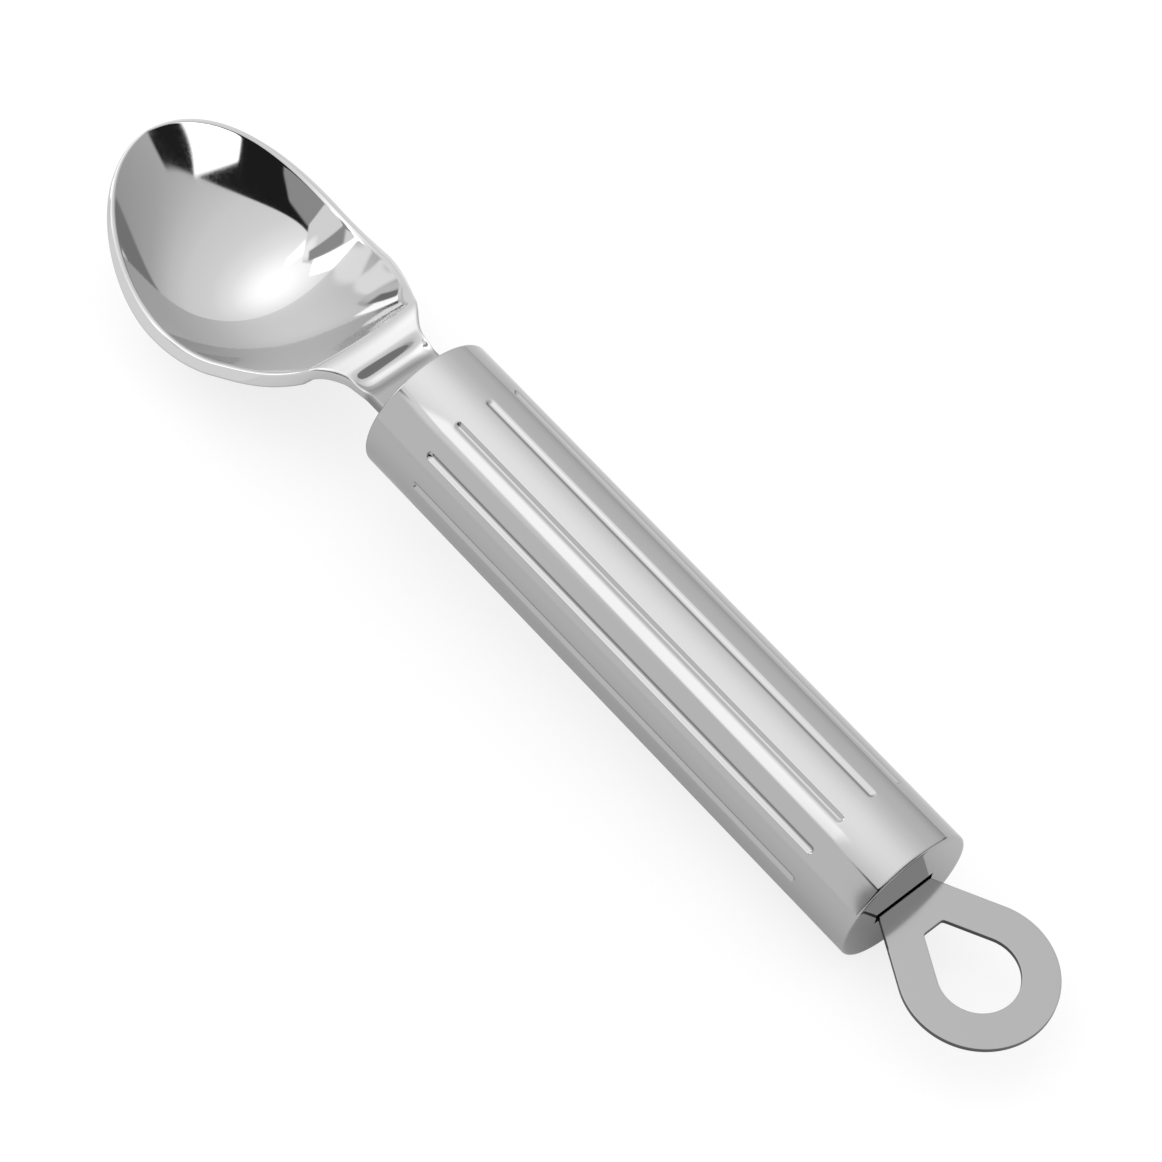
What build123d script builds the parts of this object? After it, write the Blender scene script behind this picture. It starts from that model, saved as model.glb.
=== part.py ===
"""Stainless steel ice cream scoop with a grooved hollow handle and a hanging loop.

The tool lies along X, with the bowl at the low end of X and the loop at the high end.
While it is drawn, X is 0 at the front end of the handle and the handle's axis is at Y 0, Z 0.
At the end every piece moves together, so that the tool's box is centred over the origin
and its lowest point is at Z 0.
"""

import os
from math import cos, radians, sin, sqrt, tan

from build123d import *

# Handle tube
HANDLE_DIAMETER = 25.0
HANDLE_LENGTH = 112.0
TUBE_WALL = 1.0
TUBE_EDGE_RADIUS = 0.5

# Grip grooves in a ring round the tube, with their width and depth at the middle
GROOVE_COUNT = 12
GROOVE_WIDTH = 1.3
GROOVE_DEPTH = 0.45
GROOVE_FRONT_INSET = 11.2
GROOVE_REAR_INSET = 11.8
GROOVE_FIRST_ANGLE = 10.0

# End caps, drawn as shallow cups and pressed into the tube
CAP_FACE = 1.5
CAP_SKIRT_WALL = 1.0
CAP_SKIRT_LENGTH = 7.0
CAP_CLEARANCE = 0.04
FRONT_SLOT_CLEARANCE = 0.2
REAR_SLOT_CLEARANCE = 0.5
REAR_SLOT_GAP = 0.9

# Scoop head: one stamping, described by its top surface
SHEET = 2.5
TIP_SHEET = 1.4
RIM_CROWN = 0.35
NECK_WIDTH = 13.9
NECK_TOP_Z = 1.9
NECK_TAPER_DISTANCE = 6.0
NECK_TAPER_ANGLE = 9.0
HEAD_TANG_LENGTH = 18.0
FLARE_SHARPNESS = 5
CREST_DISTANCE = 12.0
CREST_UNDERSIDE_RADIUS = 2.0
RAMP_ANGLE = 54.0
BOWL_WIDTH = 37.6
BOWL_MIDDLE_DISTANCE = 44.0
BOWL_REAR_REACH = 34.8
BOWL_FRONT_REACH = 26.3
BOWL_FLOOR_DISTANCE = 43.0
BOWL_FLOOR_Z = -21.4
BOWL_TIP_Z = -3.6
BOWL_TIP_ANGLE = 43.0
BOWL_CROSS_RADIUS = 20.0
DISH_LEAD = 5.2
DISH_BLEND_LENGTH = 24.0

# Thumb rest: a soft hollow pressed across the neck's top between its level edges.
# It falls from its start and rises to its end, and its flatness is where the section's
# control points lie as a share of half the width
THUMB_REST_START = 4.5
THUMB_REST_FALL_LENGTH = 3.5
THUMB_REST_RISE_LENGTH = 2.8
THUMB_REST_END = 10.8
THUMB_REST_DEPTH = 1.3
THUMB_REST_FLATNESS = 0.75

# Hanging loop: a flat teardrop cut from thinner sheet
LOOP_SHEET = 1.0
LOOP_MIDDLE_Z = -0.4
LOOP_OUTER_RADIUS = 12.5
LOOP_EYE_RADIUS = 6.5
LOOP_EYE_DISTANCE = 16.6
LOOP_FLANK_ANGLE = 28.0
LOOP_FLAT_DISTANCE = 6.5
LOOP_CORNER_RADIUS = 0.6
LOOP_TANG_LENGTH = 12.0

# Weld beads that hold the two tangs behind the caps
BEAD_LEG = 1.6

# How many sections the head is lofted through, how far its last one stops short of the tip,
# as an angle round the tip's outline, and over how short a run a slope is measured
TANG_SECTION_COUNT = 3
NECK_SECTION_COUNT = 14
CREST_SECTION_COUNT = 4
RAMP_SECTION_COUNT = 7
TIP_SECTION_COUNT = 9
TIP_BLUNT_ANGLE = 3.5
SLOPE_RUN = 0.05

# Worked out from the sizes above
TUBE_RADIUS = HANDLE_DIAMETER / 2
BORE_RADIUS = TUBE_RADIUS - TUBE_WALL
CAP_RADIUS = BORE_RADIUS - CAP_CLEARANCE
NECK_MIDDLE_Z = NECK_TOP_Z - SHEET / 2
CREST_RADIUS = CREST_UNDERSIDE_RADIUS + SHEET
BOWL_TIP_DISTANCE = BOWL_MIDDLE_DISTANCE + BOWL_FRONT_REACH
RAMP_TOP_DISTANCE = CREST_DISTANCE + CREST_RADIUS * sin(radians(RAMP_ANGLE))
LOOP_EYE_X = HANDLE_LENGTH + LOOP_EYE_DISTANCE
FLANK = radians(LOOP_FLANK_ANGLE)


def ease(share):
    """A smooth step from 0 to 1."""
    share = min(max(share, 0), 1)
    return share * share * (3 - 2 * share)


def cubic(x, start, end):
    """The cubic through two ends, each given as x, z and slope."""
    x0, z0, slope0 = start
    x1, z1, slope1 = end
    run = x1 - x0
    s = (x - x0) / run
    blend = ease(s)
    bend = s * (1 - s) * run * ((1 - s) * slope0 - s * slope1)
    return z0 * (1 - blend) + z1 * blend + bend


def centre_z(x):
    """The top surface in the side view: flat tang and neck, crest, ramp, floor and tip."""
    ramp_top_z = NECK_TOP_Z - CREST_RADIUS * (1 - cos(radians(RAMP_ANGLE)))
    ramp_top = (-RAMP_TOP_DISTANCE, ramp_top_z, tan(radians(RAMP_ANGLE)))
    floor = (-BOWL_FLOOR_DISTANCE, BOWL_FLOOR_Z, 0)
    tip = (-BOWL_TIP_DISTANCE, BOWL_TIP_Z, -tan(radians(BOWL_TIP_ANGLE)))
    if x >= -CREST_DISTANCE:
        return NECK_TOP_Z
    if x >= ramp_top[0]:
        return NECK_TOP_Z - CREST_RADIUS + sqrt(CREST_RADIUS**2 - (x + CREST_DISTANCE) ** 2)
    if x >= floor[0]:
        return cubic(x, ramp_top, floor)
    return cubic(x, floor, tip)


def half_width(x):
    """Half the head's width: an egg-shaped bowl that flares out of a neck with a slight taper."""
    from_middle = x + BOWL_MIDDLE_DISTANCE
    reach = BOWL_REAR_REACH if from_middle > 0 else BOWL_FRONT_REACH
    egg = BOWL_WIDTH / 2 * sqrt(max(0, 1 - (from_middle / reach) ** 2))
    if from_middle <= 0:
        return egg
    power = FLARE_SHARPNESS
    neck = NECK_WIDTH / 2 + max(0, -x - NECK_TAPER_DISTANCE) * tan(radians(NECK_TAPER_ANGLE))
    neck *= 1 - ease(1 - from_middle / BOWL_REAR_REACH)
    return (egg**power + neck**power) ** (1 / power)


def head_section(x):
    """The sheet cut across at x: dished top and underside, with softly crowned edges."""
    half = half_width(x)
    fall = (centre_z(x + SLOPE_RUN / 2) - centre_z(x - SLOPE_RUN / 2)) / SLOPE_RUN
    dish = ease((-x - CREST_DISTANCE + DISH_LEAD) / DISH_BLEND_LENGTH)
    rise = dish * half * half / (2 * BOWL_CROSS_RADIUS)
    rim_slope = 2 * rise / half
    thinning = ease((-x - BOWL_FLOOR_DISTANCE) / (BOWL_TIP_DISTANCE - BOWL_FLOOR_DISTANCE))
    sheet = SHEET + (TIP_SHEET - SHEET) * thinning
    middle_depth = sheet * sqrt(1 + fall**2)
    edge_depth = sheet * sqrt(1 + fall**2 + rim_slope**2) / (1 + rim_slope**2)
    middle_z = centre_z(x)
    rim_z = middle_z + rise
    low_half = half + rim_slope * edge_depth
    low_z = rim_z - edge_depth
    crown = RIM_CROWN / sqrt(1 + rim_slope**2)
    edge_y = (half + low_half) / 2 + crown
    edge_z = (rim_z + low_z) / 2 + crown * rim_slope
    press = ease((-x - THUMB_REST_START) / THUMB_REST_FALL_LENGTH)
    press *= ease((THUMB_REST_END + x) / THUMB_REST_RISE_LENGTH)
    control_y = half * (1 + (3 * THUMB_REST_FLATNESS - 1) * press) / 3
    control_z = rim_z - 4 / 3 * (rise + THUMB_REST_DEPTH * press)
    top = Bezier((x, -half, rim_z), (x, -control_y, control_z), (x, control_y, control_z), (x, half, rim_z))
    bottom_control = 2 * (middle_z - middle_depth) - low_z
    underside = Bezier((x, -low_half, low_z), (x, 0, bottom_control), (x, low_half, low_z))
    right = ThreePointArc((x, half, rim_z), (x, edge_y, edge_z), (x, low_half, low_z))
    left = ThreePointArc((x, -half, rim_z), (x, -edge_y, edge_z), (x, -low_half, low_z))
    return Face(Wire([top, right, underside, left]))


def spread(start, end, count):
    """Evenly spaced places from start up to, but not at, end."""
    return [start + (end - start) * k / count for k in range(count)]


def scoop_head():
    """Bowl, neck and tang in one piece, lofted through sections from the tang to the tip."""
    last_turn = radians(90 - TIP_BLUNT_ANGLE)
    places = spread(HEAD_TANG_LENGTH, 0, TANG_SECTION_COUNT)
    places += spread(0, -CREST_DISTANCE, NECK_SECTION_COUNT)
    places += spread(-CREST_DISTANCE, -RAMP_TOP_DISTANCE, CREST_SECTION_COUNT)
    places += spread(-RAMP_TOP_DISTANCE, -BOWL_MIDDLE_DISTANCE, RAMP_SECTION_COUNT)
    turns = spread(0, last_turn, TIP_SECTION_COUNT) + [last_turn]
    places += [-BOWL_MIDDLE_DISTANCE - BOWL_FRONT_REACH * sin(turn) for turn in turns]
    return loft([head_section(x) for x in places])


def groove_tool():
    """A rod with round ends, laid along the top of the tube, that leaves one groove."""
    radius = GROOVE_WIDTH**2 / (8 * GROOVE_DEPTH) + GROOVE_DEPTH / 2
    height = TUBE_RADIUS - GROOVE_DEPTH + radius
    start = GROOVE_FRONT_INSET + radius
    end = HANDLE_LENGTH - GROOVE_REAR_INSET - radius
    rod = Plane((start, 0, height), z_dir=(1, 0, 0)) * extrude(Circle(radius), end - start)
    return rod + [Pos(x, 0, height) * Sphere(radius) for x in (start, end)]


def handle_tube():
    """The tube, with soft outer edges and a ring of grooves pressed into it."""
    along = Plane.YZ
    tube = along * extrude(Circle(TUBE_RADIUS), HANDLE_LENGTH)
    tube = fillet(tube.edges(), TUBE_EDGE_RADIUS)
    tube -= along * extrude(Circle(BORE_RADIUS), HANDLE_LENGTH)
    groove = groove_tool()
    turn = 360 / GROOVE_COUNT
    return tube - [Rot(X=-GROOVE_FIRST_ANGLE - k * turn) * groove for k in range(GROOVE_COUNT)]


def end_cap(slot_width, slot_height, slot_z):
    """A drawn cup with a slot in its face, which lies at X 0 and looks towards low X."""
    along = Plane.YZ
    cup = along * extrude(Circle(CAP_RADIUS), CAP_SKIRT_LENGTH)
    inside = along.offset(CAP_FACE) * extrude(Circle(CAP_RADIUS - CAP_SKIRT_WALL), CAP_SKIRT_LENGTH)
    slot = along * extrude(Pos(0, slot_z) * Rectangle(slot_width, slot_height), CAP_FACE)
    return cup - inside - slot


def front_cap():
    """The cap that the head's tang goes through."""
    gap = 2 * FRONT_SLOT_CLEARANCE
    return end_cap(NECK_WIDTH + 2 * RIM_CROWN + gap, SHEET + gap, NECK_MIDDLE_Z)


def rear_cap():
    """The cap that the loop's tang goes through, facing the other way."""
    slot_width = 2 * flank_half_width(LOOP_OUTER_RADIUS, 0) + 2 * REAR_SLOT_CLEARANCE
    cap = end_cap(slot_width, LOOP_SHEET + 2 * REAR_SLOT_GAP, LOOP_MIDDLE_Z)
    return Pos(HANDLE_LENGTH, 0, 0) * mirror(cap, Plane.YZ)


def flank_half_width(radius, distance):
    """Half the width of a teardrop round the eye, at a distance from the handle's rear end."""
    return (radius - (LOOP_EYE_DISTANCE - distance) * sin(FLANK)) / cos(FLANK)


def teardrop(radius, distance):
    """A circle round the eye with straight flanks that run in to a flat end."""
    half = flank_half_width(radius, distance)
    end = HANDLE_LENGTH + distance
    touch_x = LOOP_EYE_X - radius * sin(FLANK)
    touch_y = radius * cos(FLANK)
    wedge = Polygon((end, -half), (touch_x, -touch_y), (touch_x, touch_y), (end, half), align=None)
    return Pos(LOOP_EYE_X, 0) * Circle(radius) + wedge


def hanging_loop():
    """A flat teardrop with a teardrop eye, and a parallel tang that goes into the handle."""
    tang_half = flank_half_width(LOOP_OUTER_RADIUS, 0)
    tang = Pos(HANDLE_LENGTH - LOOP_TANG_LENGTH / 2, 0) * Rectangle(LOOP_TANG_LENGTH, 2 * tang_half)
    eye = teardrop(LOOP_EYE_RADIUS, LOOP_FLAT_DISTANCE)
    eye_corners = eye.vertices().group_by(Axis.X)[0]
    eye = fillet(eye_corners, LOOP_CORNER_RADIUS)
    plate = teardrop(LOOP_OUTER_RADIUS, 0) + tang - eye
    return Plane.XY.offset(LOOP_MIDDLE_Z - LOOP_SHEET / 2) * extrude(plate, LOOP_SHEET)


def tang_beads(corner_x, inward, top_z, bottom_z, width):
    """A fillet weld along each face of a tang, against the inside of a cap."""
    beads = []
    for z, up in ((top_z, 1), (bottom_z, -1)):
        section = Polygon(
            (corner_x, z),
            (corner_x + inward * BEAD_LEG, z),
            (corner_x, z + up * BEAD_LEG),
            align=None,
        )
        beads += extrude(Plane.XZ * section, width / 2, both=True).solids()
    return Compound(children=beads)


def front_tang_weld():
    """Beads on the head's tang, behind the front cap."""
    return tang_beads(CAP_FACE, 1, NECK_TOP_Z, NECK_TOP_Z - SHEET, NECK_WIDTH - 2 * BEAD_LEG)


def rear_tang_weld():
    """Beads on the loop's tang, behind the rear cap."""
    width = 2 * flank_half_width(LOOP_OUTER_RADIUS, 0) - 2 * BEAD_LEG
    top = LOOP_MIDDLE_Z + LOOP_SHEET / 2
    return tang_beads(HANDLE_LENGTH - CAP_FACE, -1, top, top - LOOP_SHEET, width)


pieces = {
    "scoop_head": scoop_head(),
    "handle_tube": handle_tube(),
    "front_cap": front_cap(),
    "rear_cap": rear_cap(),
    "hanging_loop": hanging_loop(),
    "front_tang_weld": front_tang_weld(),
    "rear_tang_weld": rear_tang_weld(),
}

# The tool's box, centred over the origin with its bottom at Z 0
low_x = min(piece.bounding_box().min.X for piece in pieces.values())
high_x = max(piece.bounding_box().max.X for piece in pieces.values())
low_z = min(piece.bounding_box().min.Z for piece in pieces.values())
to_origin = Pos(-(low_x + high_x) / 2, 0, -low_z)

os.makedirs("parts", exist_ok=True)
for name, piece in pieces.items():
    export_step(to_origin * piece, f"parts/{name}.step")
print(f"length {high_x - low_x:.2f} mm, handle axis {-low_z:.2f} mm above the lowest point")
print(f"handle front end at X {-(low_x + high_x) / 2:.2f} mm")
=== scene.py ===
# %% [markdown]
# # A polished steel ice cream scoop
#
# The object is a spoon-type scoop: a thick dished bowl on a bent neck, a hollow round handle with
# twelve pressed grip grooves, and a flat teardrop plate to hang it by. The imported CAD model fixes
# where everything is, and the sizes below repeat its own. The visible pieces are drawn again as
# fine, even meshes, because a polished surface shows each facet of a coarse one, and then they get
# steel, light and a camera.

# %% Load the fixed frame
import math

import bmesh
import bpy
from mathutils import Euler, Matrix, Vector


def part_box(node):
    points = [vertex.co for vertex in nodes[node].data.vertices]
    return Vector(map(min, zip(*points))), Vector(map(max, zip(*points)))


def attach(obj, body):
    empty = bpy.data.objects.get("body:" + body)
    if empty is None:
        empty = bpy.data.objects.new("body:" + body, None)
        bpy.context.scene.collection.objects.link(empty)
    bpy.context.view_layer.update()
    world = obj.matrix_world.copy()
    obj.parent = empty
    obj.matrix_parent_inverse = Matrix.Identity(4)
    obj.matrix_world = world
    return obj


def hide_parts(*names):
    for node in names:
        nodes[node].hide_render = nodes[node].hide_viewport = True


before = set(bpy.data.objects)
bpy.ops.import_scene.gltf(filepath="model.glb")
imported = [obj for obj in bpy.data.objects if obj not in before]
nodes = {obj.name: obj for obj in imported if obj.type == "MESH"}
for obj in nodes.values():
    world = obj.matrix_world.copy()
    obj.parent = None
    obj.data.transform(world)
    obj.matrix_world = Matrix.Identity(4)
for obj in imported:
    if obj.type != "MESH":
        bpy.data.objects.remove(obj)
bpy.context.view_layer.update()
print("CAD nodes:", ", ".join(sorted(nodes)))

# %% [markdown]
# ## Where things are
#
# All drawing below is in millimetres, from the middle of the handle's front end, with X along the
# handle towards the loop. The tube's box in the frame says where that point lies, so one matrix
# takes every finished mesh to its place in metres.

# %% From drawing millimetres to the frame
MM = 0.001
tube_low, tube_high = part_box("handle_tube")
axis_z = (tube_low.z + tube_high.z) / 2
TO_FRAME = Matrix.Translation((tube_low.x, 0, axis_z)) @ Matrix.Scale(MM, 4)
HANDLE_LENGTH = (tube_high.x - tube_low.x) / MM
TUBE_RADIUS = (tube_high.y - tube_low.y) / MM / 2
print(f"handle {HANDLE_LENGTH:.2f} mm long, radius {TUBE_RADIUS:.2f} mm")

# %% [markdown]
# ## The camera
#
# The photograph was taken from above the handle's loop end, with a long lens. Its place, turn and
# focal length come from fitting the tube's two ends, its grooves and the loop to the picture.

# %% Camera
CAMERA_PLACE_MM = (303.23, -320.15, 669.51)
CAMERA_AZIMUTH, CAMERA_ELEVATION, CAMERA_ROLL = 39.61, 58.34, 10.79
SENSOR_WIDTH = 36.0
FOCAL_PIXELS, IMAGE_PIXELS = 5060.7, 1162

scene = bpy.context.scene
camera_data = bpy.data.cameras.new("camera")
camera_data.sensor_width = SENSOR_WIDTH
camera_data.lens = SENSOR_WIDTH * FOCAL_PIXELS / IMAGE_PIXELS
camera = bpy.data.objects.new("camera", camera_data)
tilt, heading = math.radians(90 - CAMERA_ELEVATION), math.radians(CAMERA_AZIMUTH)
turn = Euler((tilt, 0, heading)).to_matrix().to_4x4()
roll = Matrix.Rotation(math.radians(CAMERA_ROLL), 4, "Z")
camera.matrix_world = Matrix.Translation(TO_FRAME @ Vector(CAMERA_PLACE_MM)) @ turn @ roll
scene.collection.objects.link(camera)
scene.camera = camera
print(f"lens {camera_data.lens:.1f} mm")

# %% [markdown]
# ## Steel
#
# Every piece is stainless steel, and only its last finishing step differs. The head is buffed on a
# soft wheel, the handle is drawn past a fine belt, the loop is plate as it leaves the rolls, the
# front cap keeps the dull skin of deep drawing, and a weld is left bare. Each could have a material
# of its own kind, but one function makes them all, so that they differ only in what that last step
# changes: the colour, the roughness, and the size and depth of the marks.


# %% Colours and nodes
def linear(hex_colour):
    """An sRGB hex colour as linear RGBA."""
    channels = [int(hex_colour[k : k + 2], 16) / 255 for k in (1, 3, 5)]
    return [c / 12.92 if c <= 0.04045 else ((c + 0.055) / 1.055) ** 2.4 for c in channels] + [1]


def add(tree, kind, settings=(), **inputs):
    """Add a node. An input is named, or numbered as _0. A socket is linked, other things are values."""
    node = tree.nodes.new(kind)
    for name, value in dict(settings).items():
        setattr(node, name, value)
    for name, value in inputs.items():
        number = name[1:]
        socket = node.inputs[int(number) if number.isdigit() else name.replace("_", " ")]
        if isinstance(value, bpy.types.NodeSocket):
            tree.links.new(value, socket)
        else:
            socket.default_value = value
    return node


print(f"middle grey is {linear('#808080')[0]:.3f} in linear light")

# %% One steel for every finish
HAZE_MM = 9  # the pressure on a wheel or belt changes over about this length
LINE_DETAIL, HAZE_DETAIL = 3.0, 2.0
MOTTLE_LOW, MOTTLE_HIGH = 0.1, 0.4  # what lines times haze mostly lie between


def steel(name, colour, roughness, line_mm, line_stretch, bump_mm):
    """Stainless steel with marks line_mm apart, line_stretch times as long along X, bump_mm deep."""
    material = bpy.data.materials.new(name)
    material.use_nodes = True
    tree = material.node_tree
    tree.nodes.clear()
    place = add(tree, "ShaderNodeTexCoord").outputs["Object"]
    squeeze = add(tree, "ShaderNodeMapping", Vector=place, Scale=(1 / line_stretch, 1, 1))
    lines = add(
        tree,
        "ShaderNodeTexNoise",
        Vector=squeeze.outputs["Vector"],
        Scale=1 / (line_mm * MM),
        Detail=LINE_DETAIL,
    ).outputs["Fac"]
    haze = add(
        tree, "ShaderNodeTexNoise", Vector=place, Scale=1 / (HAZE_MM * MM), Detail=HAZE_DETAIL
    ).outputs["Fac"]
    mottle = add(tree, "ShaderNodeMath", {"operation": "MULTIPLY"}, _0=lines, _1=haze).outputs[0]
    rough = add(
        tree,
        "ShaderNodeMapRange",
        _0=mottle,
        _1=MOTTLE_LOW,
        _2=MOTTLE_HIGH,
        _3=roughness[0],
        _4=roughness[1],
    )
    bump = add(tree, "ShaderNodeBump", Height=lines, Strength=1.0, Distance=bump_mm * MM)
    surface = add(
        tree,
        "ShaderNodeBsdfPrincipled",
        Base_Color=linear(colour),
        Metallic=1.0,
        Roughness=rough.outputs["Result"],
        Normal=bump.outputs["Normal"],
    )
    add(tree, "ShaderNodeOutputMaterial", Surface=surface.outputs["BSDF"])
    return material


# %% The five finishes
# Real polishing marks are some hundredths of a millimetre apart. That is too fine to show, so they
# are drawn 0.3 to 0.6 mm apart. A stretch of 1 is a grain without a direction.

# Buffed on a soft wheel: nearly a mirror, with a haze that comes and goes over the bowl.
buffed = steel(
    "buffed_stainless_steel", "#c2c2c2", (0.03, 0.06), line_mm=0.5, line_stretch=1, bump_mm=0.0001
)
# Drawn past a fine belt: hair lines along the handle, which soften the edges of what it mirrors.
satin = steel(
    "satin_stainless_steel", "#a8a8a8", (0.05, 0.08), line_mm=0.3, line_stretch=40, bump_mm=0.0001
)
# Plate from the rolls: an even grey that mirrors only large shapes, with short traces of the rolls.
rolled = steel(
    "rolled_stainless_plate", "#969696", (0.09, 0.13), line_mm=0.4, line_stretch=12, bump_mm=0.0001
)
# Deep drawn and not polished: a dull grey skin that mirrors nothing clearly.
drawn = steel("drawn_steel", "#808080", (0.3, 0.4), line_mm=0.4, line_stretch=1, bump_mm=0.001)
# Bare weld: a rough bead under dark scale.
welded = steel("welded_steel", "#4a4744", (0.35, 0.5), line_mm=0.6, line_stretch=1, bump_mm=0.02)
print("finishes:", ", ".join(m.name for m in (buffed, satin, rolled, drawn, welded)))


# %% [markdown]
# ## From a bmesh to a piece
#
# Each piece is drawn as a bmesh in millimetres. This puts it in its place, gives it smooth shading
# and its steel, and hides the CAD node it stands for.


# %% Making a piece
def make_piece(bm, name, node, material):
    """Turn a bmesh in drawing millimetres into a piece that stands for a CAD node."""
    bmesh.ops.transform(bm, matrix=TO_FRAME, verts=bm.verts)
    mesh = bpy.data.meshes.new(name)
    bm.to_mesh(mesh)
    bm.free()
    mesh.shade_smooth()
    mesh.materials.append(material)
    piece = bpy.data.objects.new(name, mesh)
    scene.collection.objects.link(piece)
    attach(piece, "root")
    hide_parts(node)
    print(name, len(mesh.polygons), "faces")
    return piece


def pick(geometry, kind):
    """The vertices, edges or faces among what an operator gives back."""
    return [item for item in geometry if isinstance(item, kind)]


# %% [markdown]
# ## The scoop head
#
# Bowl, neck and tang are one stamping from thick sheet. It could be sculpted from a sphere, but a
# stamping has one even sheet that bends two ways, so a flat grid is bent instead: each vertex takes
# its place along the head's side profile and across its width. A copy is set below it by the sheet's
# thickness, and the two are bridged round the rim. A bevel can't round that rim, because it is wider
# than the grid's fine rows, so the rows next to the outline sink into the sheet along an arc.

# %% Sizes of the head
SHEET, TIP_SHEET = 2.5, 1.4
NECK_WIDTH, NECK_TOP_Z = 13.9, 1.9
NECK_TAPER_DISTANCE, NECK_TAPER_ANGLE = 6.0, math.radians(9.0)
THUMB_REST_START, THUMB_REST_FALL_LENGTH = 4.5, 3.5
THUMB_REST_END, THUMB_REST_RISE_LENGTH = 10.8, 2.5
THUMB_REST_DEPTH, THUMB_REST_SQUARENESS = 1.5, 7
HEAD_TANG_LENGTH = 18.0
FLARE_SHARPNESS = 5
CREST_DISTANCE, CREST_RADIUS, RAMP_ANGLE = 12.0, 4.5, math.radians(54.0)
BOWL_WIDTH, BOWL_MIDDLE_DISTANCE = 37.6, 44.0
BOWL_REAR_REACH, BOWL_FRONT_REACH = 34.8, 26.3
BOWL_FLOOR_DISTANCE, BOWL_FLOOR_Z = 43.0, -21.4
BOWL_TIP_Z, BOWL_TIP_ANGLE = -3.6, math.radians(43.0)
BOWL_CROSS_RADIUS = 20.0
DISH_LEAD, DISH_BLEND_LENGTH = 5.2, 24.0
RIM_ROUND, RIM_UNDER_ROUND = 0.6, 0.4
TIP_DISTANCE = BOWL_MIDDLE_DISTANCE + BOWL_FRONT_REACH
RAMP_TOP_DISTANCE = CREST_DISTANCE + CREST_RADIUS * math.sin(RAMP_ANGLE)
print(f"head {HEAD_TANG_LENGTH + TIP_DISTANCE:.1f} mm from the tang's end to the tip")


# %% The head's side profile
def ease(share):
    """A smooth step from 0 to 1."""
    share = min(max(share, 0), 1)
    return share * share * (3 - 2 * share)


def cubic(x, start, end):
    """The cubic through two ends, each given as x, z and slope."""
    x0, z0, slope0 = start
    x1, z1, slope1 = end
    run = x1 - x0
    s = (x - x0) / run
    blend = ease(s)
    return z0 * (1 - blend) + z1 * blend + s * (1 - s) * run * ((1 - s) * slope0 - s * slope1)


def profile_z(x):
    """The head's top in the side view: flat tang and neck, crest, ramp, floor and tip."""
    ramp_top_z = NECK_TOP_Z - CREST_RADIUS * (1 - math.cos(RAMP_ANGLE))
    ramp_top = (-RAMP_TOP_DISTANCE, ramp_top_z, math.tan(RAMP_ANGLE))
    floor = (-BOWL_FLOOR_DISTANCE, BOWL_FLOOR_Z, 0)
    tip = (-TIP_DISTANCE, BOWL_TIP_Z, -math.tan(BOWL_TIP_ANGLE))
    if x >= -CREST_DISTANCE:
        return NECK_TOP_Z
    if x >= ramp_top[0]:
        return NECK_TOP_Z - CREST_RADIUS + math.sqrt(CREST_RADIUS**2 - (x + CREST_DISTANCE) ** 2)
    if x >= floor[0]:
        return cubic(x, ramp_top, floor)
    return cubic(x, floor, tip)


print(f"the bowl is {NECK_TOP_Z - profile_z(-BOWL_FLOOR_DISTANCE):.1f} mm deep under the neck's top")


# %% The head's width and dish
def half_width(x):
    """Half the head's width: an egg-shaped bowl that flares out of a neck with a slight taper."""
    from_middle = x + BOWL_MIDDLE_DISTANCE
    reach = BOWL_REAR_REACH if from_middle > 0 else BOWL_FRONT_REACH
    egg = BOWL_WIDTH / 2 * math.sqrt(max(0, 1 - (from_middle / reach) ** 2))
    if from_middle <= 0:
        return egg
    neck = NECK_WIDTH / 2 + max(0, -x - NECK_TAPER_DISTANCE) * math.tan(NECK_TAPER_ANGLE)
    neck *= 1 - ease(1 - from_middle / BOWL_REAR_REACH)
    return (egg**FLARE_SHARPNESS + neck**FLARE_SHARPNESS) ** (1 / FLARE_SHARPNESS)


def dish_z(x, y):
    """How far the sheet rises at y beside its middle line."""
    dish = ease((-x - CREST_DISTANCE + DISH_LEAD) / DISH_BLEND_LENGTH)
    return dish * y * y / (2 * BOWL_CROSS_RADIUS)


print(f"half width {half_width(-CREST_DISTANCE):.2f} mm at the crest")


# %% What the press and the polisher do to the sheet
OUTLINE_STEP = 0.05


def thumb_rest_depth(x, y):
    """How deep the thumb rest is pressed into the neck's top, between its level edges."""
    press = ease((-x - THUMB_REST_START) / THUMB_REST_FALL_LENGTH)
    press *= ease((THUMB_REST_END + x) / THUMB_REST_RISE_LENGTH)
    return THUMB_REST_DEPTH * press * (1 - abs(y / half_width(x)) ** THUMB_REST_SQUARENESS)


def rim_fall(x, y, radius):
    """How far the rim's rounding takes a point near the outline into the sheet."""
    slope = (half_width(x + OUTLINE_STEP) - half_width(x - OUTLINE_STEP)) / (2 * OUTLINE_STEP)
    inward = (half_width(x) - abs(y)) / math.hypot(1, slope)
    share = 1 - min(max(inward / radius, 0), 1)
    return radius * (1 - math.sqrt(1 - share * share))


def sheet_at(x):
    """The sheet's thickness, which thins from the bowl's floor to its tip."""
    share = (-x - BOWL_FLOOR_DISTANCE) / (TIP_DISTANCE - BOWL_FLOOR_DISTANCE)
    return SHEET + (TIP_SHEET - SHEET) * ease(share)


print(f"sheet {sheet_at(0):.1f} mm at the neck and {sheet_at(-TIP_DISTANCE):.1f} mm at the tip")

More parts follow.
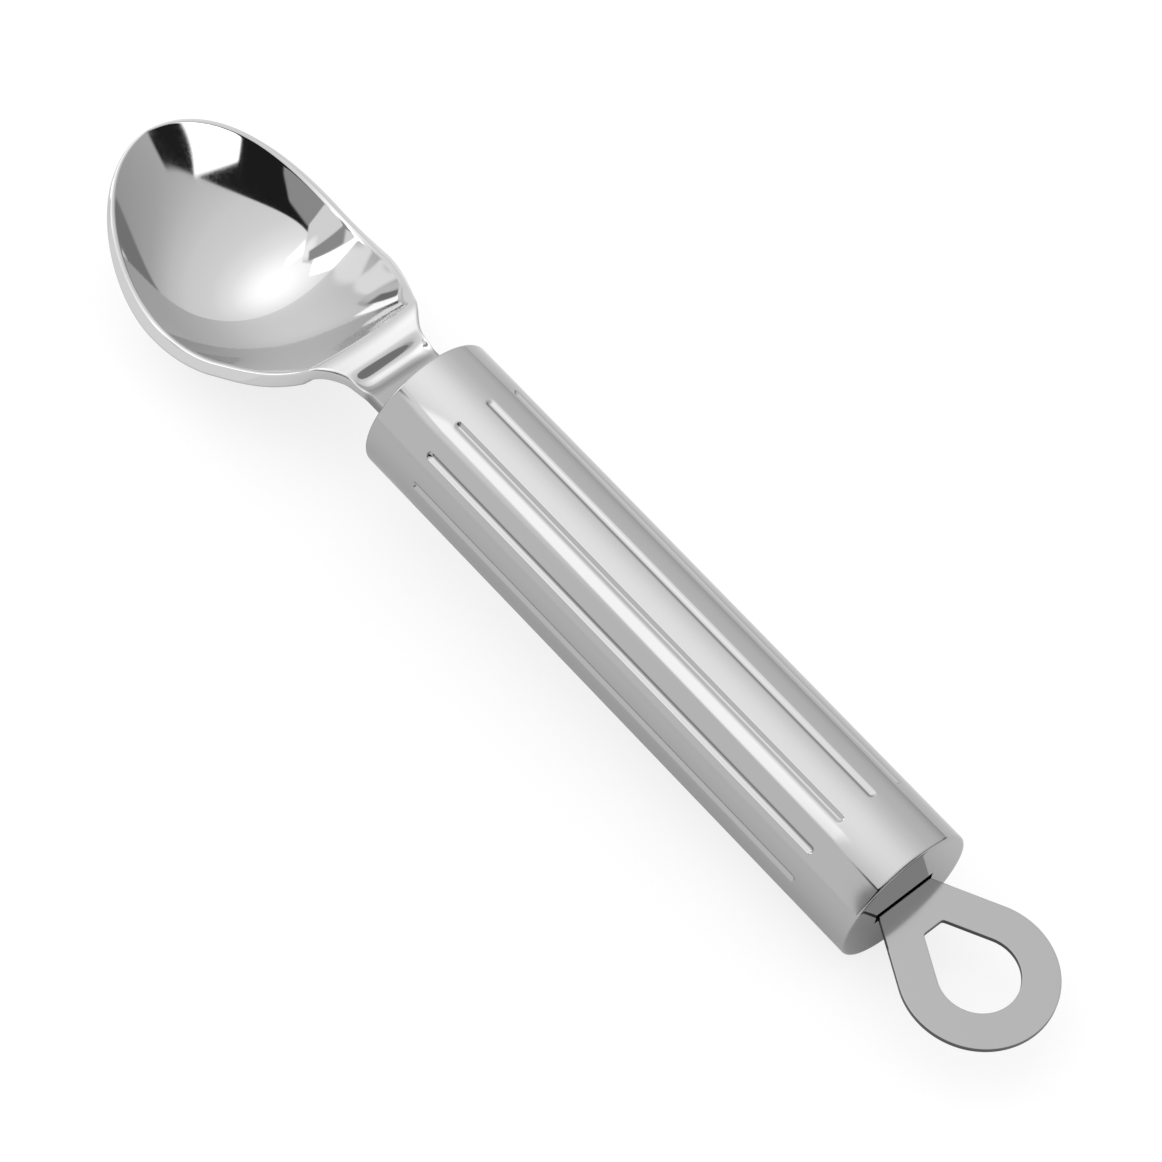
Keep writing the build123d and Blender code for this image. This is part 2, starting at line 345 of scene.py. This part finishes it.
# %% Bend a grid into the head's upper side
HEAD_STEPS, ACROSS_STEPS = 320, 84
TIP_SHARE = 0.3  # of the steps along the head, which swing round the tip's ellipse
TIP_SWING = math.radians(88)  # short of a right angle, so that the last row has a width
RIM_CROWD = 2.0  # more than 1 crowds the rows towards the rim

bm = bmesh.new()
bmesh.ops.create_grid(bm, x_segments=HEAD_STEPS, y_segments=ACROSS_STEPS, size=1)
for vertex in bm.verts:
    along = (1 - vertex.co.x) / 2
    across = math.copysign(1 - (1 - abs(vertex.co.y)) ** RIM_CROWD, vertex.co.y)
    if along < 1 - TIP_SHARE:
        run = HEAD_TANG_LENGTH + BOWL_MIDDLE_DISTANCE
        x = HEAD_TANG_LENGTH - run * along / (1 - TIP_SHARE)
    else:
        swing = (along - 1 + TIP_SHARE) / TIP_SHARE * TIP_SWING
        x = -BOWL_MIDDLE_DISTANCE - BOWL_FRONT_REACH * math.sin(swing)
    y = across * half_width(x)
    vertex.co = (x, y, profile_z(x) + dish_z(x, y))
bmesh.ops.recalc_face_normals(bm, faces=bm.faces)
if sum(face.normal.z for face in bm.faces) < 0:
    bmesh.ops.reverse_faces(bm, faces=bm.faces)
print("upper side:", len(bm.verts), "vertices")


# %% Set a copy below it, round the rim and press the thumb rest
def sink(vertex, depth):
    """Move a vertex into the sheet, square to the sheet's slope across the head."""
    lean = Vector((0, vertex.normal.y, vertex.normal.z))
    vertex.co -= lean * depth / lean.length_squared


upper_verts = bm.verts[:]
rim = [edge for edge in bm.edges if edge.is_boundary]
copy = bmesh.ops.duplicate(bm, geom=bm.verts[:] + bm.edges[:] + bm.faces[:])["geom"]
lower_verts = pick(copy, bmesh.types.BMVert)
lower_rim = [edge for edge in pick(copy, bmesh.types.BMEdge) if edge.is_boundary]
bm.normal_update()
for vertex in lower_verts:
    x, y = vertex.co.xy
    sink(vertex, sheet_at(x) - rim_fall(x, y, RIM_UNDER_ROUND))
for vertex in upper_verts:
    x, y = vertex.co.xy
    sink(vertex, rim_fall(x, y, RIM_ROUND))
    vertex.co.z -= thumb_rest_depth(x, y)
print("rim:", len(rim), "edges above and", len(lower_rim), "below")

# %% Close the rim
bmesh.ops.reverse_faces(bm, faces=pick(copy, bmesh.types.BMFace))
bmesh.ops.bridge_loops(bm, edges=rim + lower_rim)
bmesh.ops.recalc_face_normals(bm, faces=bm.faces)
head = make_piece(bm, "head", "scoop_head", buffed)

# %% [markdown]
# The corner between the neck and the handle is painted darker, as painted shade, and its steel is
# rougher there. A second material on those faces would end in a hard line, so the head's steel turns
# to the darker colour and roughness over a short length of X instead.


# %% Paint shade and change roughness on part of a piece
def shade_and_roughen(material, share, colour, roughness):
    """Turn a steel to a darker colour, as painted shade, and to another roughness, as far as share
    says.
    """
    tree = material.node_tree
    surface = next(node for node in tree.nodes if node.type == "BSDF_PRINCIPLED")
    first_colour = surface.inputs["Base Color"].default_value[:]
    first_rough = surface.inputs["Roughness"].links[0].from_socket
    # A Mix node has numbered sockets for each kind of value: 2 and 3 for numbers, 6 and 7 for colours.
    mix = {"data_type": "RGBA"}
    mixed = add(tree, "ShaderNodeMix", mix, _0=share, _6=first_colour, _7=linear(colour)).outputs[2]
    rough = add(tree, "ShaderNodeMix", _0=share, _2=first_rough, _3=roughness).outputs[0]
    tree.links.new(mixed, surface.inputs["Base Color"])
    tree.links.new(rough, surface.inputs["Roughness"])
    print(f"{material.name} turns to {colour}, roughness {roughness}")


# %% Paint shade in the corner at the handle
# The darker colour is painted shade in the corner between the neck and the handle.
CORNER_SHADE_COLOUR, CORNER_ROUGHNESS = "#8e8e8e", 0.22
CORNER_SHADE_START, CORNER_SHADE_END = -7.2, -5.6
SMOOTH = {"interpolation_type": "SMOOTHSTEP"}

tree = buffed.node_tree
place = add(tree, "ShaderNodeTexCoord").outputs["Object"]
place_x = add(tree, "ShaderNodeSeparateXYZ", Vector=place).outputs["X"]
start, end = ((TO_FRAME @ Vector((edge, 0, 0))).x for edge in (CORNER_SHADE_START, CORNER_SHADE_END))
corner_shade = add(tree, "ShaderNodeMapRange", SMOOTH, _0=place_x, _1=start, _2=end).outputs[0]
shade_and_roughen(buffed, corner_shade, CORNER_SHADE_COLOUR, CORNER_ROUGHNESS)

# %% [markdown]
# ## The handle tube
#
# The handle is a drawn tube whose grip grooves were pressed in before it was polished. A boolean
# would leave knife edges, while a press leaves soft shoulders. So a line of vertices along the
# tube is spun round its axis, and the vertices near each groove's line are then pushed inwards.

# %% Sizes of the tube
TUBE_WALL, TUBE_EDGE_RADIUS = 1.0, 0.5
GROOVE_COUNT, GROOVE_FIRST_ANGLE = 12, math.radians(10.0)
GROOVE_WIDTH, GROOVE_DEPTH, GROOVE_SHOULDER = 1.3, 0.45, 0.25
GROOVE_FRONT_INSET, GROOVE_REAR_INSET = 11.2, 11.8
BORE_RADIUS = TUBE_RADIUS - TUBE_WALL
BORE_DEPTH = TUBE_WALL + 6.0  # how far the bore is drawn, behind the caps and out of sight
print(f"{GROOVE_COUNT} grooves, {GROOVE_WIDTH} mm wide and {GROOVE_DEPTH} mm deep")

# %% The line along the tube
STOP_SPACING, STOPS_BEFORE, STOPS_AFTER = 0.15, 6, 12
EDGE_SEGMENTS = 6


def tube_stops():
    """Places along the tube, crowded where the grooves end."""
    fine = [k * STOP_SPACING for k in range(-STOPS_BEFORE, STOPS_AFTER + 1)]
    front = [GROOVE_FRONT_INSET + step for step in fine]
    rear = [HANDLE_LENGTH - GROOVE_REAR_INSET - step for step in reversed(fine)]
    return front + rear


def end_edge(turn):
    """A point on the rounded edge at the tube's end: its inset from the end, and its radius."""
    inset = TUBE_EDGE_RADIUS * (1 - math.sin(turn))
    return inset, TUBE_RADIUS - TUBE_EDGE_RADIUS + TUBE_EDGE_RADIUS * math.cos(turn)


end_edges = [end_edge(k / EDGE_SEGMENTS * math.pi / 2) for k in range(EDGE_SEGMENTS + 1)]
line = [(BORE_DEPTH, BORE_RADIUS), (0, BORE_RADIUS)]
line += reversed(end_edges)
line += [(x, TUBE_RADIUS) for x in tube_stops()]
line += [(HANDLE_LENGTH - inset, radius) for inset, radius in end_edges]
line += [(HANDLE_LENGTH, BORE_RADIUS), (HANDLE_LENGTH - BORE_DEPTH, BORE_RADIUS)]
print("line along the tube:", len(line), "points")

# %% Spin the line and press the grooves
TUBE_SPIN_STEPS = 720
CORNER_ANGLE = math.radians(60)  # an edge that turns more than this is a corner
outside = TUBE_RADIUS - TUBE_EDGE_RADIUS / 10  # the end edges and the bore lie within this radius


def groove_depth(x, angle):
    """How deep the press pushes the tube at x and angle."""
    pitch = 2 * math.pi / GROOVE_COUNT
    off = (angle - GROOVE_FIRST_ANGLE + pitch / 2) % pitch - pitch / 2
    half = GROOVE_WIDTH / 2
    start = GROOVE_FRONT_INSET + half
    end = HANDLE_LENGTH - GROOVE_REAR_INSET - half
    distance = math.hypot(x - min(max(x, start), end), off * TUBE_RADIUS)
    return GROOVE_DEPTH * ease((half + GROOVE_SHOULDER - distance) / (half + GROOVE_SHOULDER))


bm = bmesh.new()
verts = [bm.verts.new((x, 0, radius)) for x, radius in line]
edges = [bm.edges.new(pair) for pair in zip(verts, verts[1:])]
bmesh.ops.spin(
    bm,
    geom=verts + edges,
    cent=(0, 0, 0),
    axis=(1, 0, 0),
    angle=2 * math.pi,
    steps=TUBE_SPIN_STEPS,
    use_merge=True,
)
bmesh.ops.recalc_face_normals(bm, faces=bm.faces)
for vertex in bm.verts:
    radius = math.hypot(vertex.co.y, vertex.co.z)
    if radius > outside:
        depth = groove_depth(vertex.co.x, math.atan2(vertex.co.y, vertex.co.z))
        vertex.co.yz = vertex.co.yz * (1 - depth / radius)
tube = make_piece(bm, "tube", "handle_tube", satin)
tube.data.set_sharp_from_angle(angle=CORNER_ANGLE)

# %% [markdown]
# ## The two caps
#
# Each end of the tube is closed by a drawn cap that is pressed in flush and welded. The rear one is
# polished with the tube, so no seam shows, and the front one stays dull behind the neck. A boolean
# could cut the slot for the neck or the loop, but filling between a circle and a slot is simpler and
# leaves a clean flat face, which is then thickened inwards.

# %% Sizes of the caps
CAP_FACE, CAP_SEGMENTS = 1.5, 128
FRONT_SLOT_WIDTH, FRONT_SLOT_HEIGHT = 15.0, 2.9
SLOT_CORNERS = ((1, 1), (-1, 1), (-1, -1), (1, -1))
neck_middle_z = NECK_TOP_Z - SHEET / 2
print(f"caps {2 * BORE_RADIUS:.1f} mm across, the neck's slot at {neck_middle_z:.2f} mm")


# %% Fill and thicken a cap
def cap(x, inward, slot_width, slot_height, slot_z):
    """A round plate at x with a slot, thickened inward."""
    bm = bmesh.new()
    circle = bmesh.ops.create_circle(bm, segments=CAP_SEGMENTS, radius=BORE_RADIUS)["verts"]
    slot = bmesh.ops.create_circle(bm, segments=len(SLOT_CORNERS), radius=1)["verts"]
    for vertex, (side, top) in zip(slot, SLOT_CORNERS):
        vertex.co = (side * slot_width / 2, slot_z + top * slot_height / 2, 0)
    bmesh.ops.triangle_fill(bm, edges=bm.edges[:], use_beauty=True)
    # The plate was drawn lying down. This stands it across the handle at x.
    stand = Matrix(((0, 0, 1, x), (1, 0, 0, 0), (0, 1, 0, 0), (0, 0, 0, 1)))
    bmesh.ops.transform(bm, matrix=stand, verts=circle + slot)
    grown = bmesh.ops.extrude_face_region(bm, geom=bm.faces[:], use_keep_orig=True)["geom"]
    moved = pick(grown, bmesh.types.BMVert)
    bmesh.ops.translate(bm, vec=(inward * CAP_FACE, 0, 0), verts=moved)
    bmesh.ops.recalc_face_normals(bm, faces=bm.faces)
    return bm


bm = cap(0, 1, FRONT_SLOT_WIDTH, FRONT_SLOT_HEIGHT, neck_middle_z)
front_cap = make_piece(bm, "front_end", "front_cap", drawn)
front_cap.data.shade_flat()

# %% [markdown]
# ## The hanging loop
#
# The loop is cut from flat plate: a ring whose outside and eye both run out into straight flanks.
# Two circles are drawn round the eye's centre, each vertex slides along its ray to its outline, and
# the flat ring between them is extruded to the plate's thickness and its edges are bevelled.

# %% Sizes of the loop
LOOP_SHEET, LOOP_MIDDLE_Z = 1.0, -0.4
LOOP_OUTER_RADIUS, LOOP_EYE_RADIUS = 12.5, 6.5
LOOP_EYE_DISTANCE, LOOP_FLAT_DISTANCE = 16.6, 6.5
LOOP_FLANK = math.radians(28)
LOOP_TANG_LENGTH = 12.0
eye_x = HANDLE_LENGTH + LOOP_EYE_DISTANCE
flank_rise = LOOP_EYE_DISTANCE * math.sin(LOOP_FLANK)
tang_half = (LOOP_OUTER_RADIUS - flank_rise) / math.cos(LOOP_FLANK)
print(f"loop's tang {2 * tang_half:.2f} mm wide")

# %% The loop's two outlines
EYE_CORNER_SHARPNESS = 60


def flank_reach(angle, radius):
    """How far a ray from the eye's centre goes to a circle with straight flanks."""
    touch = math.pi / 2 + LOOP_FLANK
    angle = abs(angle)
    return radius if angle < touch else radius / math.cos(angle - touch)


def eye_reach(angle):
    """The eye's outline: flanks that stop at a flat end."""
    flat = LOOP_EYE_DISTANCE - LOOP_FLAT_DISTANCE
    reach = flank_reach(angle, LOOP_EYE_RADIUS)
    cut = max(-math.cos(angle), 0) / flat
    power = EYE_CORNER_SHARPNESS
    return (reach**-power + cut**power) ** (-1 / power)


def plate_reach(angle):
    """The plate's outline: flanks as far as the handle, then a parallel tang."""
    reach = flank_reach(angle, LOOP_OUTER_RADIUS)
    if -reach * math.cos(angle) <= LOOP_EYE_DISTANCE:
        return reach
    tang_end = (LOOP_EYE_DISTANCE + LOOP_TANG_LENGTH) / -math.cos(angle)
    return min(tang_end, tang_half / max(abs(math.sin(angle)), tang_half / tang_end))


print(f"eye {LOOP_EYE_RADIUS + eye_reach(math.pi):.1f} mm long")

# %% Draw, extrude and bevel the loop
LOOP_SEGMENTS = 360
LOOP_EDGE_ROUND, LOOP_EDGE_SEGMENTS = 0.12, 2
LOOP_SHARP_ANGLE = math.radians(15)

bm = bmesh.new()
for outline in (plate_reach, eye_reach):
    for vertex in bmesh.ops.create_circle(bm, segments=LOOP_SEGMENTS, radius=1)["verts"]:
        angle = math.atan2(vertex.co.y, vertex.co.x)
        vertex.co *= outline(angle)
bmesh.ops.bridge_loops(bm, edges=bm.edges[:])
grown = bmesh.ops.extrude_face_region(bm, geom=bm.faces[:], use_keep_orig=True)["geom"]
raised = pick(grown, bmesh.types.BMVert)
bmesh.ops.translate(bm, vec=(0, 0, LOOP_SHEET), verts=raised)
bmesh.ops.translate(bm, vec=(eye_x, 0, LOOP_MIDDLE_Z - LOOP_SHEET / 2), verts=bm.verts)
bmesh.ops.recalc_face_normals(bm, faces=bm.faces)
sharp = [edge for edge in bm.edges if edge.calc_face_angle(0) > CORNER_ANGLE]
bmesh.ops.bevel(
    bm,
    geom=sharp,
    offset=LOOP_EDGE_ROUND,
    segments=LOOP_EDGE_SEGMENTS,
    profile=0.5,
    affect="EDGES",
    clamp_overlap=True,
    material=-1,
)
loop = make_piece(bm, "loop", "hanging_loop", rolled)
loop.data.set_sharp_from_angle(angle=LOOP_SHARP_ANGLE)

# %% [markdown]
# The press that cuts the plate tears through its lower part, so the cut edge is rough, and it is also
# painted darker than the smooth faces, as painted shade. The edge's faces could be picked out one by
# one, but the plate lies level, so its own surface direction tells the edge from the faces: Z is 1 on
# a face and 0 on the edge.

# %% Paint shade on the cut edge of the loop
# The darker colour is painted shade on the loop's cut edge. Its roughness is the torn edge's own.
CUT_EDGE_SHADE_COLOUR, CUT_ROUGHNESS = "#505050", 0.35
EDGE_Z, FACE_Z = 0.5, 0.9

tree = rolled.node_tree
facing = add(tree, "ShaderNodeTexCoord").outputs["Normal"]
slope = add(tree, "ShaderNodeSeparateXYZ", Vector=facing).outputs["Z"]
slope = add(tree, "ShaderNodeMath", {"operation": "ABSOLUTE"}, _0=slope).outputs[0]
cut = add(tree, "ShaderNodeMapRange", _0=slope, _1=EDGE_Z, _2=FACE_Z, _3=1.0, _4=0.0).outputs[0]
shade_and_roughen(rolled, cut, CUT_EDGE_SHADE_COLOUR, CUT_ROUGHNESS)

# %% [markdown]
# The rear cap's slot is cut to the loop's tang, so this cap is made after the loop. The gap above and
# below the plate is wide enough to show as a dark line.

# %% Close the handle's rear end round the loop
REAR_SLOT_CLEARANCE, REAR_SLOT_GAP = 0.5, 0.9

slot_width = 2 * tang_half + 2 * REAR_SLOT_CLEARANCE
bm = cap(HANDLE_LENGTH, -1, slot_width, LOOP_SHEET + 2 * REAR_SLOT_GAP, LOOP_MIDDLE_Z)
rear_cap = make_piece(bm, "rear_end", "rear_cap", satin)
rear_cap.data.shade_flat()

# %% [markdown]
# ## The welds
#
# The beads behind the caps are out of sight. Their CAD solids stay, with the colour of bare weld.

# %% Dress the CAD nodes that stay
for name in ("front_tang_weld", "rear_tang_weld"):
    nodes[name].data.materials.clear()
    nodes[name].data.materials.append(welded)
    print(name, "is", welded.name)

# %% [markdown]
# ## Floor, light and background
#
# The scoop lies on a pale table: the bowl's underside and the handle's rear end touch it, so the
# table is tilted a little against the handle. To the eye and to the steel it is white, so it glows a
# little for both. A glow would light up the dark place under the scoop as well, so in what the steel
# mirrors, the glow fades near the scoop as a contact shadow does.

# %% The table's surface
FLOOR_COLOUR, WHITE = "#808080", "#ffffff"
FLOOR_GLOW = 0.78
SHADOW_REACH, SHADOW_SAMPLES = 0.08, 8

floor_material = bpy.data.materials.new("pale_table")
floor_material.use_nodes = True
tree = floor_material.node_tree
tree.nodes.clear()
rays = add(tree, "ShaderNodeLightPath").outputs
camera_ray = rays["Is Camera Ray"]
matt = add(tree, "ShaderNodeBsdfDiffuse", Color=linear(FLOOR_COLOUR)).outputs["BSDF"]
open_sky = add(
    tree, "ShaderNodeAmbientOcclusion", {"samples": SHADOW_SAMPLES}, Distance=SHADOW_REACH
).outputs["AO"]
open_sky = add(tree, "ShaderNodeMapRange", _0=camera_ray, _3=open_sky, _4=1.0).outputs[0]
strength = add(tree, "ShaderNodeMath", {"operation": "MULTIPLY"}, _0=open_sky, _1=FLOOR_GLOW)
glow = add(tree, "ShaderNodeEmission", Color=linear(WHITE), Strength=strength.outputs[0])
lit = add(tree, "ShaderNodeAddShader", _0=matt, _1=glow.outputs["Emission"]).outputs["Shader"]
in_sight = camera_ray
for ray in ("Is Glossy Ray", "Is Transmission Ray"):
    either = {"operation": "MAXIMUM"}
    in_sight = add(tree, "ShaderNodeMath", either, _0=in_sight, _1=rays[ray]).outputs[0]
seen = add(tree, "ShaderNodeMixShader", _0=in_sight, _1=matt, _2=lit)
add(tree, "ShaderNodeOutputMaterial", Surface=seen.outputs["Shader"])
print("table:", len(tree.nodes), "nodes")

# %% The table
FLOOR_SIZE = 0.9

head_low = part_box("scoop_head")[0]
bowl_bottom = TO_FRAME @ Vector((-BOWL_FLOOR_DISTANCE, 0, 0))
rest_tilt = math.atan2(tube_low.z - head_low.z, tube_high.x - bowl_bottom.x)
lean = Matrix.Rotation(-rest_tilt, 4, "Y")
up = lean @ Vector((0, 0, 1))
foot = Vector((bowl_bottom.x, 0, head_low.z))
foot += up * min(up.dot(vertex.co - foot) for vertex in head.data.vertices)

bm = bmesh.new()
bmesh.ops.create_grid(bm, x_segments=1, y_segments=1, size=FLOOR_SIZE / 2)
bmesh.ops.transform(bm, matrix=Matrix.Translation(foot) @ lean, verts=bm.verts)
floor_mesh = bpy.data.meshes.new("table")
bm.to_mesh(floor_mesh)
bm.free()
floor_mesh.materials.append(floor_material)
floor = bpy.data.objects.new("table", floor_mesh)
scene.collection.objects.link(floor)
print(f"table tilted {math.degrees(rest_tilt):.2f} degrees")

# %% [markdown]
# Polished steel shows nothing but its surroundings, so the studio is laid out for what the steel
# should show. Its light is brightest round one soft lamp behind the bowl and falls off from there.
# Half of the room below the ceiling is dark, which gives the bowl its black reflections. Cards, lamps,
# a shelf and a window lie on the walls. Area lamps could stand for some of them, but each is drawn
# on the world instead, as a patch with straight edges, so a mirror bends it as it bends a real one.

# %% Directions in the room
DOT = {"operation": "DOT_PRODUCT"}


def towards(azimuth, elevation):
    """The unit vector towards a place on the room's walls, from its angles in degrees."""
    azimuth, elevation = math.radians(azimuth), math.radians(elevation)
    level = math.cos(elevation)
    return Vector((math.cos(azimuth) * level, math.sin(azimuth) * level, math.sin(elevation)))


def beyond(tree, direction, axis, edge, blur):
    """How far a direction lies on an axis's side of an edge across the room, from 0 to 1."""
    height = add(tree, "ShaderNodeVectorMath", DOT, _0=direction, _1=axis).outputs["Value"]
    start, end = edge - blur, edge + blur
    return add(tree, "ShaderNodeMapRange", SMOOTH, _0=height, _1=start, _2=end).outputs[0]


def within(tree, direction, corners, blur):
    """How far a direction lies within a patch between corners on the walls, from 0 to 1."""
    places = [towards(*corner) for corner in corners]
    middle = sum(places, Vector())
    inside = 1.0
    for place, following in zip(places, places[1:] + places[:1]):
        axis = place.cross(following).normalized()
        axis *= math.copysign(1, axis.dot(middle))
        share = beyond(tree, direction, axis, 0, math.radians(blur))
        both = {"operation": "MULTIPLY"}
        inside = add(tree, "ShaderNodeMath", both, _0=share, _1=inside).outputs[0]
    return inside


print("straight up is", towards(0, 90)[:])

# %% The soft lamp and its fall-off
LAMP_AZIMUTH, LAMP_ELEVATION = -175, 60
# The cosine of the angle from the lamp, and the light's level there.
FALLOFF = (
    (-0.24, 0.45),
    (0.0, 0.65),
    (0.15, 0.9),
    (0.3, 1.05),
    (0.57, 1.15),
    (0.77, 1.36),
    (0.86, 1.55),
    (0.95, 1.8),
    (1.0, 1.95),
)

world = bpy.data.worlds.new("studio")
scene.world = world
world.use_nodes = True
tree = world.node_tree
tree.nodes.clear()
direction = add(tree, "ShaderNodeTexCoord").outputs["Generated"]
lamp = towards(LAMP_AZIMUTH, LAMP_ELEVATION)
nearness = add(tree, "ShaderNodeVectorMath", DOT, _0=direction, _1=lamp).outputs["Value"]
light = FALLOFF[0][1]
for (near, low), (far, high) in zip(FALLOFF, FALLOFF[1:]):
    step = high - low
    rise = add(tree, "ShaderNodeMapRange", _0=nearness, _1=near, _2=far, _3=0.0, _4=step).outputs[0]
    light = add(tree, "ShaderNodeMath", {"operation": "ADD"}, _0=rise, _1=light).outputs[0]
print(f"light from {FALLOFF[0][1]} to {FALLOFF[-1][1]}")

# %% What lies on the walls
# Each patch has its corners as azimuth and elevation in degrees, the blur of its edges in degrees,
# and its level of light, where 1 is white.
STRIP_LAMP = ((-113, 47.5), (-122, 62), (-140, 62), (-131, 47.5)), 1.5, 2.3
WIDE_CARD = ((-55, 20), (-57, 34), (-67, 42), (-101, 44), (-98, -5), (-56, -5)), 0.8, 0.45
PALE_CARD = (
    ((-101, 44), (-113, 46.5), (-140, 48.5), (-152, 30), (-154, 10), (-150, -5), (-98, -5)),
    0.8,
    1.15,
)
SOFT_GLOW = ((-112, 34), (-112, 54), (-146, 54), (-146, 34)), 9, 1.55
GREY_CARD = ((-131, 22), (-131, 44), (-143, 42), (-145, 20)), 1, 0.45
SIDE_LAMP = ((-147, 10), (-144, 38), (-160, 34), (-160, 10)), 1, 3.0
SHELF = ((50, -2), (50, 7), (75, 7.5), (98, 7), (98, -2)), 1, 0.3
WINDOW = ((9.5, 35.8), (-2, 33), (-36, 28), (-27, 35.4), (-7, 37.2)), 0.5, 2.5


def lay(tree, direction, light, corners, blur, level):
    """Lay a patch of one level over the room's light."""
    patch = within(tree, direction, corners, blur)
    return add(tree, "ShaderNodeMix", _0=patch, _2=light, _3=level).outputs[0]


light = lay(tree, direction, light, *STRIP_LAMP)
print("strip lamp at", STRIP_LAMP[-1])

# %% The dark half of the room, under the ceiling
DARK_HALF, DARK_BLUR, DARK_LEVEL = (-58, -9), 0.02, 0.02
CEILING_LEAN, CEILING_EDGE, CEILING_BLUR = Vector((-0.113, 0.2995, 1)), 0.53, 0.006

half = beyond(tree, direction, towards(*DARK_HALF), 0, DARK_BLUR)
ceiling = beyond(tree, direction, CEILING_LEAN, CEILING_EDGE, CEILING_BLUR)
shade = add(tree, "ShaderNodeMapRange", _0=ceiling, _3=half, _4=0.0).outputs[0]
light = add(tree, "ShaderNodeMix", _0=shade, _2=light, _3=DARK_LEVEL).outputs[0]
print("dark half at", DARK_LEVEL)

# %% Cards, lamps, shelf and window
for patch in (WIDE_CARD, PALE_CARD):
    light = lay(tree, direction, light, *patch)
glow_corners, glow_blur, glow_level = SOFT_GLOW
glow = within(tree, direction, glow_corners, glow_blur)
glow = add(tree, "ShaderNodeMath", {"operation": "MULTIPLY"}, _0=glow, _1=glow_level).outputs[0]
light = add(tree, "ShaderNodeMath", {"operation": "MAXIMUM"}, _0=light, _1=glow).outputs[0]
for patch in (GREY_CARD, SIDE_LAMP, SHELF, WINDOW):
    light = lay(tree, direction, light, *patch)
print("room:", len(tree.nodes), "nodes")

# %% [markdown]
# The camera itself sees plain white behind the table, and everything else sees the room.

# %% Background
room = add(tree, "ShaderNodeBackground", Color=linear(WHITE), Strength=light).outputs["Background"]
white = add(tree, "ShaderNodeBackground", Color=linear(WHITE), Strength=1.0).outputs["Background"]
camera_ray = add(tree, "ShaderNodeLightPath").outputs["Is Camera Ray"]
shown = add(tree, "ShaderNodeMixShader", _0=camera_ray, _1=room, _2=white)
add(tree, "ShaderNodeOutputWorld", Surface=shown.outputs["Shader"])
scene.view_settings.view_transform = "Standard"
print("view transform:", scene.view_settings.view_transform)
